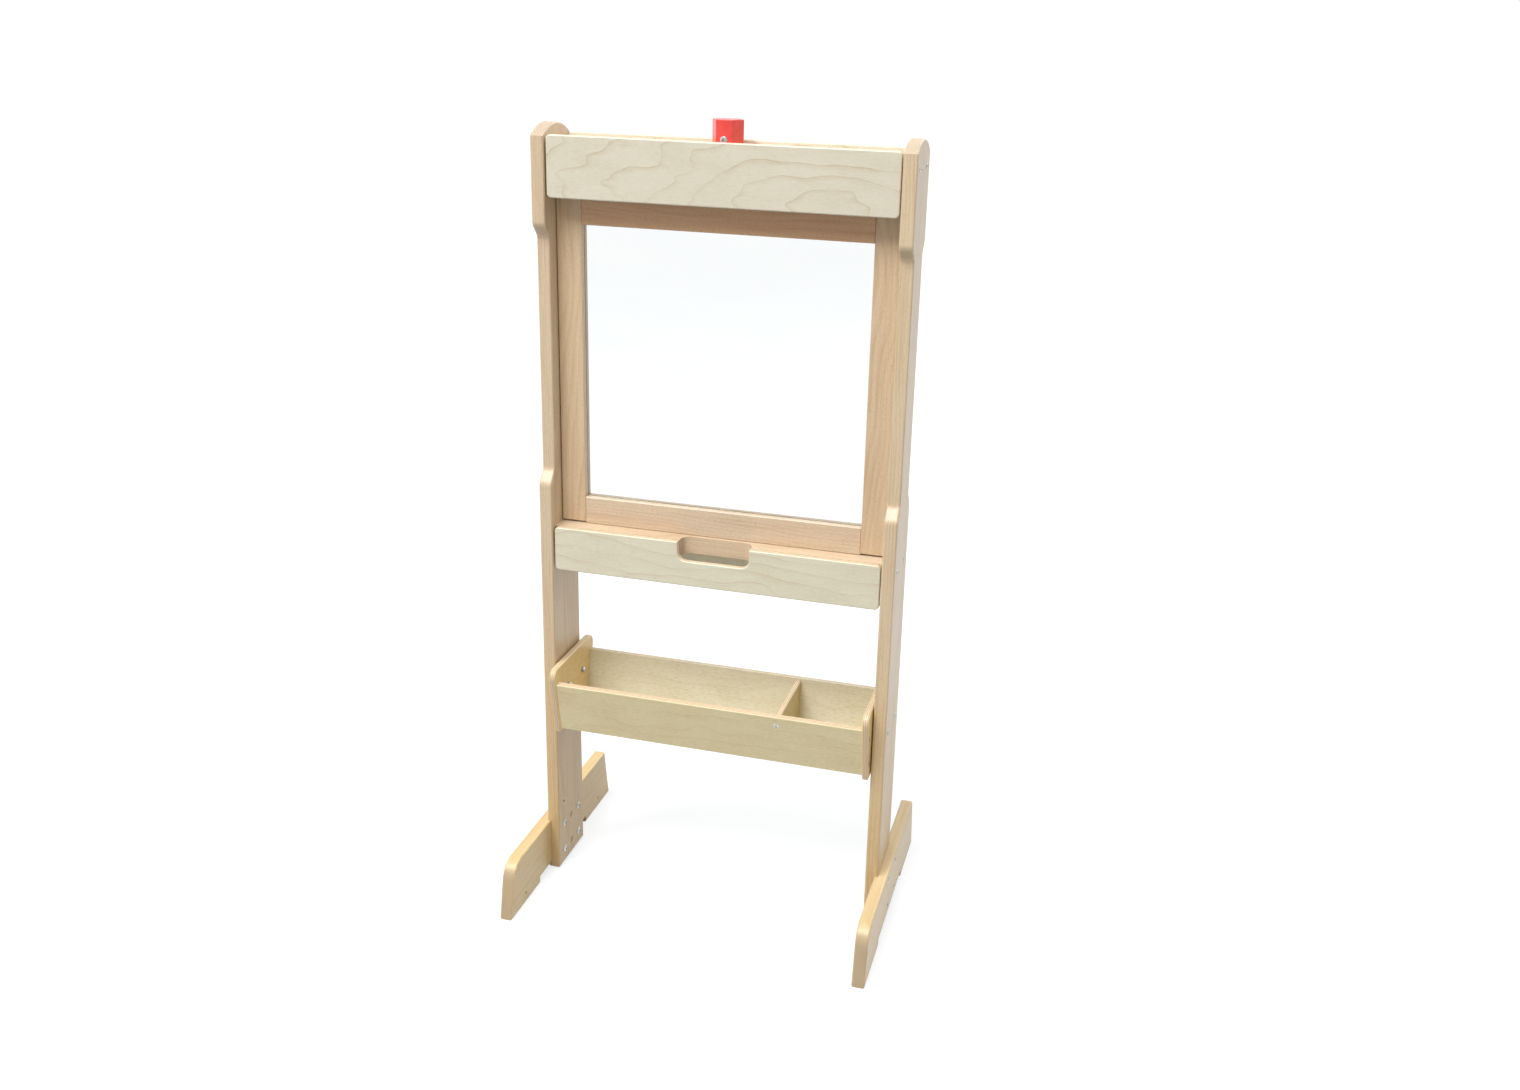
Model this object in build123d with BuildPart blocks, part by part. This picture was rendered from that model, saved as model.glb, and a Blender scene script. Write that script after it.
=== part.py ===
"""Kids easel: two beech uprights on slanted feet, joined by a head shelf, a lower shelf and a
plywood tray, with a framed clear board that lifts between them and a red pull-up lock.

Frame: origin at the middle of the footprint on the floor, +X to the right seen from the
front, +Y to the back, +Z up. Millimetres.
"""
import os
from math import cos, radians, sin, tan

from build123d import *

# overall
overall_width = 525.0
overall_depth = 370.0
overall_height = 1085.0

# uprights
upright_thickness = 18.0
upright_depth = 91.0
neck_depth = 63.0
floor_gap = 2.0
shoulder_rise = 63.5            # lower shelf's top up to the shoulder
shoulder_slope = 17.0           # height of the slant from shoulder to neck
cheek_drop = 128.0              # upright's top down to the end of the upper slant
cheek_slope = 16.0              # height of the slant from neck to cheek
arch_rise = 15.5
arch_corner = 6.0
waist_round = 12.0
sole_round = 4.0
beech_edge = 2.5

# feet
foot_thickness = 18.0
foot_height = 80.0
foot_lean = 16.0
toe_round = 30.0
heel_round = 16.0
sole_length = 99.0
arch_height = 9.0
arch_round = 7.0
housing_depth = 5.0
housing_play = 0.2

# shelves and their plywood panels
shelf_thickness = 24.0
head_shelf_drop = 34.5          # upright's top down to the middle of the head shelf
lower_shelf_top = 542.5
panel_ply = 9.0
panel_setback = 4.0             # upright's front edge back to the panel's face
panel_end_gap = 1.7
panel_corner = 6.0
panel_edge = 1.8
head_panel_drop = 13.5          # upright's top down to the panel's top edge
head_panel_height = 79.5
lower_panel_height = 62.5
grip_width = 101.0
grip_height = 27.0
grip_corner = 12.0
grip_lip = 3.5
pocket_depth = 17.0
pocket_corner = 14.0

# framed board
board_thickness = 20.0
stile_width = 35.0
rail_width = 38.0
board_side_play = 1.0
board_headroom = 44.5
board_lift = 36.0
rest_gap = 0.3
stile_end_gap = 2.0
frame_chamfer = 0.9
clear_thickness = 3.0
groove_depth = 8.0
groove_play = 0.1
corner_dowel_radius = 4.0
corner_dowel_length = 40.0
corner_dowel_pitch = 14.0
guide_pin_radius = 2.0
guide_pin_reach = 4.0           # length of the pin that stands in the stile's slot
guide_slot_play = 0.6
shelf_pin_radius = 4.0
shelf_pin_sink = 12.0
shelf_pin_rise = 8.0
shelf_pin_offset = 150.0
shelf_pin_play = 0.5

# lock
knob_flats = 36.0               # six-sided knob, across its flats
knob_rise = 13.0                # knob's top above the uprights
knob_corner = 1.2
knob_edge = 1.2
pin_radius = 7.0
pin_play = 0.5
pin_engagement = 8.0            # length of the pin that stands in the top rail
pin_in_knob = 22.0
lock_screw_height = 10.0        # above the knob's underside
flange_radius = 4.7
flange_height = 1.2
socket_width = 4.0
lock_screw_radius = 3.0
lock_screw_length = 27.0

# tray
tray_ply = 9.0
tray_floor_ply = 6.0
tray_lean = 11.5                # degrees that the boards lean outwards
tray_bottom = 234.0
tray_end_height = 104.0
tray_foot_half = 53.3           # half the end panel's depth at its foot
tray_front_corner = 14.0
tray_foot_corner = 5.0
tray_edge = 2.0
tray_gap = 1.5                  # upright to end panel, held by the spacers
board_inset = 2.0               # end panel's edge to the board's face
board_bottom_rise = 6.0
tray_board_height = 77.0
divider_offset = 101.0
tray_bolt_height = 297.0

# fixings
fixing_inset = 19.5             # upright's edge to the fixing's axis
screw_play = 0.1
recess_share = 0.4              # depth of a cross recess over its head's radius
rim_share = 0.3                 # straight rim of a domed head over its height
shelf_screw_length = 46.0
shelf_screw_radius = 2.3
shelf_screw_head = 4.2
shelf_screw_head_height = 1.6
bolt_radius = 3.0
bolt_head = 5.2
bolt_head_height = 2.4
foot_bolt_low = 23.0
foot_bolt_high = 67.0
insert_radius = 4.5
insert_recess = 3.0
foot_dowel_radius = 5.0
foot_dowel_blind = 8.0
tray_bolt_radius = 2.5
tray_bolt_head = 4.6
tray_bolt_head_height = 2.0
nut_width = 8.0
nut_hex_height = 3.2
nut_dome_radius = 3.7
nut_dome_height = 3.0
nut_thread = 4.6
spacer_radius = 6.0
flat_screw_head = 3.6
flat_screw_radius = 1.8
flat_screw_length = 32.0
flat_screw_pitch = 42.0
divider_screw_drop = 14.0
pilot_radius = 2.0
pilot_depth = 5.0
pilot_height = 104.0
foot_pilot_inset = 48.0
foot_pilot_height = 15.0

# worked out
foot_outer = overall_width / 2
foot_inner = foot_outer - foot_thickness
upright_outer = foot_inner + housing_depth
upright_inner = upright_outer - upright_thickness
shoulder_height = lower_shelf_top + shoulder_rise
neck_start = shoulder_height + shoulder_slope
cheek_start = overall_height - cheek_drop
neck_end = cheek_start - cheek_slope
half_upright = upright_depth / 2
half_neck = neck_depth / 2
fixing_y = half_upright - fixing_inset
panel_face = half_upright - panel_setback
half_shelf = panel_face - panel_ply
head_shelf_middle = overall_height - head_shelf_drop
head_shelf_top = head_shelf_middle + shelf_thickness / 2
head_shelf_bottom = head_shelf_middle - shelf_thickness / 2
lower_shelf_middle = lower_shelf_top - shelf_thickness / 2
head_panel_top = overall_height - head_panel_drop
half_panel = upright_inner - panel_end_gap
guide_height = (head_shelf_middle + lower_shelf_middle) / 2

half_board = upright_inner - board_side_play
opening_half = half_board - stile_width
board_bottom = lower_shelf_top + rest_gap
board_top = head_shelf_bottom - board_headroom
opening_bottom = board_bottom + rail_width
opening_top = board_top - rail_width

knob_bottom = head_shelf_top + rest_gap
knob_top = overall_height + knob_rise
pin_bottom = board_top - pin_engagement
pin_top = knob_bottom + pin_in_knob
lock_screw_z = knob_bottom + lock_screw_height

tray_outer = upright_inner - tray_gap
tray_inner = tray_outer - tray_ply
lean = radians(tray_lean)
tray_top = tray_bottom + tray_end_height
board_foot_z = tray_bottom + board_bottom_rise



def save(piece, name):
    """Label the finished piece and write it."""
    piece.part.label = name
    export_step(piece.part, f"parts/{name}.step")


def facing(x, y, z, direction):
    """A place on a face whose outward side is direction."""
    return Plane(origin=(x, y, z), z_dir=direction)


def both_sides(offset):
    """The same offset to the front and to the back."""
    return (-offset, offset)


def tray_edge_y(z):
    """Half the tray end panel's depth at height z."""
    return tray_foot_half + (z - tray_bottom) * tan(lean)


def tray_face_y(z):
    """Distance of a tray board's outer face from the middle at height z."""
    return tray_edge_y(z) - board_inset


def cross(radius):
    """Outline of the cross recess in a screw head of this radius."""
    Rectangle(radius * 1.15, radius * 0.26)
    Rectangle(radius * 0.26, radius * 1.15)


def crown(radius, low, high):
    """Arc of a spherical crown, from its rim at low to the axis at high."""
    rise = high - low
    sphere = (radius**2 + rise**2) / (2 * rise)
    ThreePointArc(
        (radius, low),
        (radius / 2, high - sphere + (sphere**2 - radius**2 / 4) ** 0.5),
        (0, high),
    )


def pan_screw(head, head_height, shank, length):
    """Domed cross-head screw, its seat at Z = 0 and its shank down -Z."""
    with BuildPart() as screw:
        with BuildSketch(Plane.XZ):
            with BuildLine():
                Polyline(
                    (0, head_height),
                    (0, -length),
                    (shank * 0.45, -length),
                    (shank, -length + shank),
                    (shank, 0),
                    (head, 0),
                    (head, head_height * rim_share),
                )
                crown(head, head_height * rim_share, head_height)
            make_face()
        revolve(axis=Axis.Z)
        with BuildSketch(Plane.XY.offset(head_height)):
            cross(head)
        extrude(amount=-head * recess_share, mode=Mode.SUBTRACT)
    return screw.part


def flat_screw(head, shank, length):
    """Countersunk cross-head screw, its head flush with Z = 0."""
    with BuildPart() as screw:
        with BuildSketch(Plane.XZ):
            with BuildLine():
                Polyline(
                    (0, 0),
                    (0, -length),
                    (shank * 0.3, -length),
                    (shank, -length + 2 * shank),
                    (shank, -(head - shank)),
                    (head, 0),
                    (0, 0),
                )
            make_face()
        revolve(axis=Axis.Z)
        with BuildSketch(Plane.XY):
            cross(head)
        extrude(amount=-head * recess_share, mode=Mode.SUBTRACT)
    return screw.part


def rod(radius, length, end_chamfer):
    """Round dowel or pin from Z = 0 down -Z with chamfered ends."""
    with BuildPart() as piece:
        with BuildSketch(Plane.XY):
            Circle(radius)
        extrude(amount=-length)
        chamfer(piece.faces().filter_by(Axis.Z).edges(), length=end_chamfer)
    return piece.part


def group(name, piece, places):
    """Write one node that holds a copy of piece at every place."""
    with BuildPart() as copies:
        with Locations(*[place.location for place in places]):
            add(piece)
    save(copies, name)


# places of the fixings
shelf_screw_places = {
    side: {
        level: [facing(side * upright_outer, y, z, (side, 0, 0)) for y in both_sides(fixing_y)]
        for level, z in (("head", head_shelf_middle), ("lower", lower_shelf_middle))
    }
    for side in (-1, 1)
}
tray_bolt_places = [
    facing(side * upright_outer, y, tray_bolt_height, (side, 0, 0))
    for side in (-1, 1)
    for y in both_sides(fixing_y)
]
foot_bolt_places = [
    facing(side * upright_inner, y, z, (-side, 0, 0))
    for side in (-1, 1)
    for y in both_sides(fixing_y)
    for z in (foot_bolt_low, foot_bolt_high)
]
foot_dowel_places = [
    facing(side * upright_inner, 0, z, (-side, 0, 0))
    for side in (-1, 1)
    for z in (foot_bolt_low, foot_bolt_high)
]
guide_pin_places = [facing(side * upright_outer, 0, guide_height, (side, 0, 0)) for side in (-1, 1)]


def on_side(places, side):
    """The places on one side of the easel."""
    return [place for place in places if place.origin.X * side > 0]


def drill(places, radius, depth):
    """Round holes into the faces at the places."""
    with Locations(*[place.location for place in places]):
        Hole(radius, depth)


os.makedirs("parts", exist_ok=True)


# uprights: arched head, waisted neck, straight leg
def make_upright(side, name):
    with BuildPart() as upright:
        with BuildSketch(Plane.YZ.offset(side * upright_inner)) as profile:
            with BuildLine():
                half = Polyline(
                    (0, floor_gap),
                    (half_upright, floor_gap),
                    (half_upright, shoulder_height),
                    (half_neck, neck_start),
                    (half_neck, neck_end),
                    (half_upright, cheek_start),
                    (half_upright, overall_height - arch_rise),
                )
                mirror(half, about=Plane.YZ)
                ThreePointArc(
                    (half_upright, overall_height - arch_rise),
                    (0, overall_height),
                    (-half_upright, overall_height - arch_rise),
                )
            make_face()
            ends = profile.vertices().sort_by(Axis.Y)
            waist = [v for v in ends if shoulder_height - 1 < v.Y < cheek_start + 1]
            fillet(waist, radius=waist_round)
            fillet([v for v in ends if abs(v.Y - overall_height + arch_rise) < 1], radius=arch_corner)
            fillet([v for v in ends if v.Y < floor_gap + 1 and abs(v.X) > 1], radius=sole_round)
        extrude(amount=side * upright_thickness)
        fillet(upright.faces().filter_by(Axis.X).edges(), radius=beech_edge)
        for level in ("head", "lower"):
            drill(shelf_screw_places[side][level], shelf_screw_radius + screw_play, upright_thickness + 1)
        drill(on_side(tray_bolt_places, side), tray_bolt_radius + screw_play, upright_thickness + 1)
        drill(on_side(foot_bolt_places, side), bolt_radius + screw_play, upright_thickness + 1)
        drill(on_side(foot_dowel_places, side), foot_dowel_radius, upright_thickness + 1)
        drill(on_side(guide_pin_places, side), guide_pin_radius, upright_thickness + 1)
        pilot = facing(side * upright_inner, -fixing_y, pilot_height, (-side, 0, 0))
        drill([pilot], pilot_radius, pilot_depth)
    save(upright, name)


make_upright(-1, "left_upright")
make_upright(1, "right_upright")


# feet: leaning ends, large round at the toe, low arch, housing for the upright
def make_foot(side, name):
    half_foot = overall_depth / 2
    arch_half = half_foot - sole_length
    with BuildPart() as foot:
        with BuildSketch(Plane.YZ.offset(side * foot_inner)) as profile:
            with BuildLine():
                Polyline(
                    (-half_foot, 0),
                    (-arch_half, 0),
                    (-arch_half, arch_height),
                    (arch_half, arch_height),
                    (arch_half, 0),
                    (half_foot, 0),
                    (half_foot - foot_lean, foot_height),
                    (foot_lean - half_foot, foot_height),
                    close=True,
                )
            make_face()
            toe, heel = profile.vertices().group_by(Axis.Y)[-1].sort_by(Axis.X)
            arch = [v for v in profile.vertices() if abs(v.Y - arch_height) < 0.01]
            fillet(toe, radius=toe_round)
            fillet(heel, radius=heel_round)
            fillet(arch, radius=arch_round)
        extrude(amount=side * foot_thickness)
        fillet(foot.faces().filter_by(Axis.X).edges(), radius=beech_edge)
        with BuildSketch(Plane.YZ.offset(side * foot_inner)):
            with Locations((0, foot_height / 2)):
                Rectangle(upright_depth + 2 * housing_play, foot_height + 2)
        extrude(amount=side * housing_depth, mode=Mode.SUBTRACT)
        web = foot_thickness - housing_depth
        for y in both_sides(fixing_y):
            drill(
                [facing(side * foot_outer, y, z, (side, 0, 0)) for z in (foot_bolt_low, foot_bolt_high)],
                insert_radius,
                web + 1,
            )
        drill(
            [facing(side * upright_outer, 0, z, (-side, 0, 0)) for z in (foot_bolt_low, foot_bolt_high)],
            foot_dowel_radius,
            foot_dowel_blind,
        )
        drill(
            [
                facing(side * foot_inner, y, foot_pilot_height, (-side, 0, 0))
                for y in both_sides(half_foot - foot_pilot_inset)
            ],
            pilot_radius,
            pilot_depth,
        )
    save(foot, name)


make_foot(-1, "left_foot")
make_foot(1, "right_foot")


# shelves between the uprights
def shelf_end_places(z):
    return [
        facing(side * upright_inner, y, z, (side, 0, 0)) for side in (-1, 1) for y in both_sides(fixing_y)
    ]


with BuildPart() as head_shelf:
    with Locations((0, 0, head_shelf_middle)):
        Box(2 * upright_inner, 2 * half_shelf, shelf_thickness)
    drill([facing(0, 0, head_shelf_top, (0, 0, 1))], pin_radius + pin_play, shelf_thickness + 1)
    drill(
        shelf_end_places(head_shelf_middle),
        shelf_screw_radius + screw_play,
        shelf_screw_length - upright_thickness + 1,
    )
save(head_shelf, "head_shelf")

with BuildPart() as lower_shelf:
    with Locations((0, 0, lower_shelf_middle)):
        Box(2 * upright_inner, 2 * half_shelf, shelf_thickness)
    with BuildSketch(Plane.XY.offset(lower_shelf_top)) as pockets:
        for y in both_sides(half_shelf):
            with Locations((0, y)):
                Rectangle(grip_width, 2 * pocket_depth)
        fillet(pockets.vertices(), radius=pocket_corner)
    extrude(amount=-shelf_thickness, mode=Mode.SUBTRACT)
    drill(
        shelf_end_places(lower_shelf_middle),
        shelf_screw_radius + screw_play,
        shelf_screw_length - upright_thickness + 1,
    )
    drill(
        [facing(x, 0, lower_shelf_top, (0, 0, 1)) for x in both_sides(shelf_pin_offset)],
        shelf_pin_radius,
        shelf_pin_sink,
    )
save(lower_shelf, "lower_shelf")


# plywood panels on the shelves' edges, front and back alike
def make_head_panel(facing_y, name):
    with BuildPart() as panel:
        with BuildSketch(Plane.XZ.offset(-facing_y * half_shelf)):
            with Locations((0, head_panel_top - head_panel_height / 2)):
                RectangleRounded(2 * half_panel, head_panel_height, panel_corner)
        extrude(amount=-facing_y * panel_ply)
        fillet(panel.faces().filter_by(Axis.Y).edges(), radius=panel_edge)
    save(panel, name)


def make_lower_panel(facing_y, name):
    with BuildPart() as panel:
        with BuildSketch(Plane.XZ.offset(-facing_y * half_shelf)) as outline:
            with Locations((0, lower_shelf_top - lower_panel_height / 2)):
                RectangleRounded(2 * half_panel, lower_panel_height, panel_corner)
            with Locations((0, lower_shelf_top)):
                Rectangle(grip_width, 2 * grip_height, mode=Mode.SUBTRACT)
            grip = [v for v in outline.vertices() if abs(abs(v.X) - grip_width / 2) < 0.01]
            fillet([v for v in grip if v.Y < lower_shelf_top - 1], radius=grip_corner)
            fillet([v for v in grip if v.Y > lower_shelf_top - 1], radius=grip_lip)
        extrude(amount=-facing_y * panel_ply)
        fillet(panel.faces().filter_by(Axis.Y).edges(), radius=panel_edge)
    save(panel, name)


make_head_panel(-1, "front_head_panel")
make_head_panel(1, "rear_head_panel")
make_lower_panel(-1, "front_lower_panel")
make_lower_panel(1, "rear_lower_panel")


# tray: leaning boards between two end panels
def make_tray_end(side, name):
    foot_y = tray_edge_y(tray_bottom)
    top_y = tray_edge_y(tray_top)
    with BuildPart() as panel:
        with BuildSketch(Plane.YZ.offset(side * tray_inner)) as outline:
            with BuildLine():
                Polyline(
                    (-foot_y, tray_bottom),
                    (foot_y, tray_bottom),
                    (top_y, tray_top),
                    (-top_y, tray_top),
                    close=True,
                )
            make_face()
            low = outline.vertices().group_by(Axis.Y)[0]
            high = outline.vertices().group_by(Axis.Y)[-1]
            fillet(high, radius=tray_front_corner)
            fillet(low, radius=tray_foot_corner)
        extrude(amount=side * tray_ply)
        fillet(panel.faces().filter_by(Axis.X).edges(), radius=tray_edge)
        drill(
            [facing(side * tray_outer, y, tray_bolt_height, (side, 0, 0)) for y in both_sides(fixing_y)],
            tray_bolt_radius + screw_play,
            tray_ply + 1,
        )
        with Locations(*[place.location for place in on_side(tray_screw_places, side)]):
            CounterSinkHole(
                flat_screw_radius + screw_play,
                flat_screw_head + screw_play,
                depth=tray_ply + 1,
                counter_sink_angle=90,
            )
    save(panel, name)


def board_plane(facing_y):
    """The outer face of a tray board: X along the easel, Y up the leaning board."""
    return Plane(
        origin=(0, facing_y * tray_face_y(board_foot_z), board_foot_z),
        x_dir=(-facing_y, 0, 0),
        z_dir=(0, facing_y * cos(lean), -sin(lean)),
    )


def board_middle(facing_y, up):
    """The middle of a tray board's thickness, at a distance up its face."""
    face = board_plane(facing_y)
    return face.from_local_coords(Vector(0, up, -tray_ply / 2))


tray_screw_places = [
    facing(side * tray_outer, board_middle(facing_y, up).Y, board_middle(facing_y, up).Z, (side, 0, 0))
    for side in (-1, 1)
    for facing_y in (-1, 1)
    for up in ((tray_board_height - flat_screw_pitch) / 2, (tray_board_height + flat_screw_pitch) / 2)
]
divider_screw_places = []
for facing_y in (-1, 1):
    face = board_plane(facing_y)
    spot = face.from_local_coords(
        Vector(-facing_y * divider_offset, tray_board_height - divider_screw_drop, 0)
    )
    divider_screw_places.append(Plane(origin=spot, z_dir=face.z_dir))

make_tray_end(-1, "tray_left_end")
make_tray_end(1, "tray_right_end")


def make_tray_board(facing_y, name):
    with BuildPart() as board:
        with BuildSketch(board_plane(facing_y)):
            Rectangle(2 * tray_inner, tray_board_height, align=(Align.CENTER, Align.MIN))
        extrude(amount=-tray_ply)
        long_edges = board.edges().filter_by(Axis.X).sort_by(Axis.Z)
        fillet(long_edges[-2:], radius=tray_edge)
        drill(
            [
                facing(side * tray_inner, place.origin.Y, place.origin.Z, (side, 0, 0))
                for side in (-1, 1)
                for place in on_side(tray_screw_places, side)
                if place.origin.Y * facing_y > 0
            ],
            flat_screw_radius + screw_play,
            flat_screw_length - tray_ply + 1,
        )
        with Locations(divider_screw_places[(facing_y + 1) // 2].location):
            CounterSinkHole(
                flat_screw_radius + screw_play,
                flat_screw_head + screw_play,
                depth=tray_ply + 1,
                counter_sink_angle=90,
            )
    save(board, name)


make_tray_board(-1, "tray_front_board")
make_tray_board(1, "tray_back_board")

board_wall = tray_ply / cos(lean)          # thickness of a leaning board measured level
board_foot_top = board_foot_z + tray_ply * sin(lean)
floor_top = board_foot_top + tray_floor_ply
divider_top = board_foot_z + tray_board_height * cos(lean) - tray_edge


def level_half(z):
    """Half the clear width between the tray boards at height z."""
    return tray_face_y(z) - board_wall


def trapezoid(low, high):
    """Profile that fills the clear width between the tray boards from low to high."""
    Polyline(
        (-level_half(low), low),
        (level_half(low), low),
        (level_half(high), high),
        (-level_half(high), high),
        close=True,
    )


with BuildPart() as tray_bottom_board:
    with BuildSketch(Plane.YZ.offset(-tray_inner)):
        with BuildLine():
            trapezoid(board_foot_top, floor_top)
        make_face()
    extrude(amount=2 * tray_inner)
save(tray_bottom_board, "tray_bottom")

with BuildPart() as tray_divider:
    with BuildSketch(Plane.YZ.offset(divider_offset - tray_ply / 2)):
        with BuildLine():
            trapezoid(floor_top, divider_top)
        make_face()
    extrude(amount=tray_ply)
    fillet(tray_divider.edges().filter_by(Axis.Y).sort_by(Axis.Z)[-2:], radius=tray_edge)
    drill(divider_screw_places, flat_screw_radius + screw_play, flat_screw_length + 1)
save(tray_divider, "tray_divider")


# framed board: stiles, rails and a clear sheet in grooves
half_thickness = board_thickness / 2
groove_half = clear_thickness / 2 + groove_play
slot_half = guide_pin_radius + guide_slot_play
solid_middle = (rail_width + groove_depth) / 2          # opening's edge to the middle of a rail's solid part
bottom_dowels = [opening_bottom - solid_middle + shift for shift in both_sides(corner_dowel_pitch / 2)]
top_dowels = [opening_top + solid_middle + shift for shift in both_sides(corner_dowel_pitch / 2)]
corner_dowel_heights = bottom_dowels + top_dowels


def soften(piece):
    """Chamfer the arrises of a frame member's front and back faces."""
    chamfer(piece.faces().filter_by(Axis.Y).edges(), length=frame_chamfer)


def cut_groove():
    """Groove for the clear sheet, round the whole opening."""
    with Locations((0, 0, (opening_bottom + opening_top) / 2)):
        Box(
            2 * (opening_half + groove_depth),
            2 * groove_half,
            opening_top - opening_bottom + 2 * groove_depth,
            mode=Mode.SUBTRACT,
        )


def make_stile(side, name):
    bottom = lower_shelf_top + stile_end_gap
    with BuildPart() as stile:
        with Locations((side * (half_board - stile_width / 2), 0, (bottom + board_top) / 2)):
            Box(stile_width, board_thickness, board_top - bottom)
        soften(stile)
        cut_groove()
        drill(
            [facing(side * opening_half, 0, z, (-side, 0, 0)) for z in corner_dowel_heights],
            corner_dowel_radius,
            corner_dowel_length / 2,
        )
        with BuildSketch(Plane.YZ.offset(side * half_board)):
            with Locations((0, guide_height - board_lift / 2)):
                SlotOverall(board_lift + 2 * slot_half, 2 * slot_half, rotation=90)
        extrude(amount=-side * (guide_pin_reach + guide_slot_play), mode=Mode.SUBTRACT)
    save(stile, name)


def make_rail(middle, dowels, name):
    with BuildPart() as rail:
        with Locations((0, 0, middle)):
            Box(2 * opening_half, board_thickness, rail_width)
        soften(rail)
        cut_groove()
        drill(
            [facing(side * opening_half, 0, z, (side, 0, 0)) for side in (-1, 1) for z in dowels],
            corner_dowel_radius,
            corner_dowel_length / 2,
        )
        if middle > guide_height:
            drill(
                [facing(0, 0, board_top, (0, 0, 1))],
                pin_radius + pin_play,
                pin_engagement + rest_gap,
            )
        else:
            drill(
                [facing(x, 0, board_bottom, (0, 0, -1)) for x in both_sides(shelf_pin_offset)],
                shelf_pin_radius + shelf_pin_play,
                shelf_pin_rise + rest_gap,
            )
    save(rail, name)


make_stile(-1, "board_left_stile")
make_stile(1, "board_right_stile")
make_rail(opening_top + rail_width / 2, top_dowels, "board_top_rail")
make_rail(opening_bottom - rail_width / 2, bottom_dowels, "board_bottom_rail")

with BuildPart() as clear_panel:
    with Locations((0, 0, (opening_bottom + opening_top) / 2)):
        Box(
            2 * (opening_half + groove_depth),
            clear_thickness,
            opening_top - opening_bottom + 2 * groove_depth,
        )
save(clear_panel, "clear_panel")

group(
    "frame_dowels",
    rod(corner_dowel_radius, corner_dowel_length, 1.0),
    [
        facing(side * (opening_half + corner_dowel_length / 2), 0, z, (side, 0, 0))
        for side in (-1, 1)
        for z in corner_dowel_heights
    ],
)

# lock: knob, pin and the screw that ties them
knob_height = knob_top - knob_bottom
half_knob = knob_flats / 2
with BuildPart() as lock_knob:
    with BuildSketch(Plane.XY.offset(knob_bottom)) as outline:
        RegularPolygon(half_knob, 6, major_radius=False)
        fillet(outline.vertices(), radius=knob_corner)
    extrude(amount=knob_height)
    fillet(lock_knob.faces().sort_by(Axis.Z)[-1].edges(), radius=knob_edge)
    chamfer(lock_knob.faces().sort_by(Axis.Z)[0].edges(), length=1)
    drill([facing(0, 0, knob_bottom, (0, 0, -1))], pin_radius, pin_in_knob)
    screw_place = facing(0, -half_knob, lock_screw_z, (0, -1, 0))
    drill([screw_place], lock_screw_radius + screw_play, lock_screw_length)
save(lock_knob, "lock_knob")

with BuildPart() as lock_pin:
    with BuildSketch(Plane.XY.offset(pin_bottom)):
        Circle(pin_radius)
    extrude(amount=pin_top - pin_bottom)
    chamfer(lock_pin.faces().filter_by(Axis.Z).edges(), length=1.2)
    with Locations(Plane(origin=(0, -half_knob, lock_screw_z), z_dir=(0, -1, 0)).location):
        Hole(lock_screw_radius + screw_play, lock_screw_length)
save(lock_pin, "lock_pin")

with BuildPart() as lock_screw:
    with BuildSketch(Plane.XY):
        Circle(flange_radius)
    extrude(amount=flange_height)
    fillet(lock_screw.faces().sort_by(Axis.Z)[-1].edges(), radius=flange_height * 0.5)
    with BuildSketch(Plane.XY):
        Circle(lock_screw_radius)
    extrude(amount=-(lock_screw_length - 1))
    with BuildSketch(Plane.XY.offset(flange_height)):
        RegularPolygon(socket_width / 2, 6, major_radius=False)
    extrude(amount=-(flange_height + 2), mode=Mode.SUBTRACT)
group("lock_screw", lock_screw.part, [facing(0, -half_knob, lock_screw_z, (0, -1, 0))])

# fixings
shelf_screw = pan_screw(shelf_screw_head, shelf_screw_head_height, shelf_screw_radius, shelf_screw_length)
for level, name in (("head", "head_screws"), ("lower", "lower_shelf_screws")):
    group(name, shelf_screw, shelf_screw_places[-1][level] + shelf_screw_places[1][level])

foot_bolt_length = upright_thickness + foot_thickness - housing_depth - insert_recess
group("foot_bolts", pan_screw(bolt_head, bolt_head_height, bolt_radius, foot_bolt_length), foot_bolt_places)

with BuildPart() as foot_insert:
    with BuildSketch(Plane.XY):
        Circle(insert_radius)
        Circle(bolt_radius + screw_play, mode=Mode.SUBTRACT)
    extrude(amount=-(foot_thickness - housing_depth))
group(
    "foot_inserts",
    foot_insert.part,
    [
        facing(side * foot_outer, y, z, (side, 0, 0))
        for side in (-1, 1)
        for y in both_sides(fixing_y)
        for z in (foot_bolt_low, foot_bolt_high)
    ],
)
group(
    "foot_dowels",
    rod(foot_dowel_radius, upright_thickness + foot_dowel_blind, 0.4),
    foot_dowel_places,
)
group(
    "guide_pins",
    rod(guide_pin_radius, upright_thickness + board_side_play + guide_pin_reach, 0.4),
    guide_pin_places,
)
group(
    "shelf_pins",
    rod(shelf_pin_radius, shelf_pin_sink + shelf_pin_rise, 1.0),
    [
        facing(x, 0, lower_shelf_top + shelf_pin_rise, (0, 0, 1))
        for x in both_sides(shelf_pin_offset)
    ],
)

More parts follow.
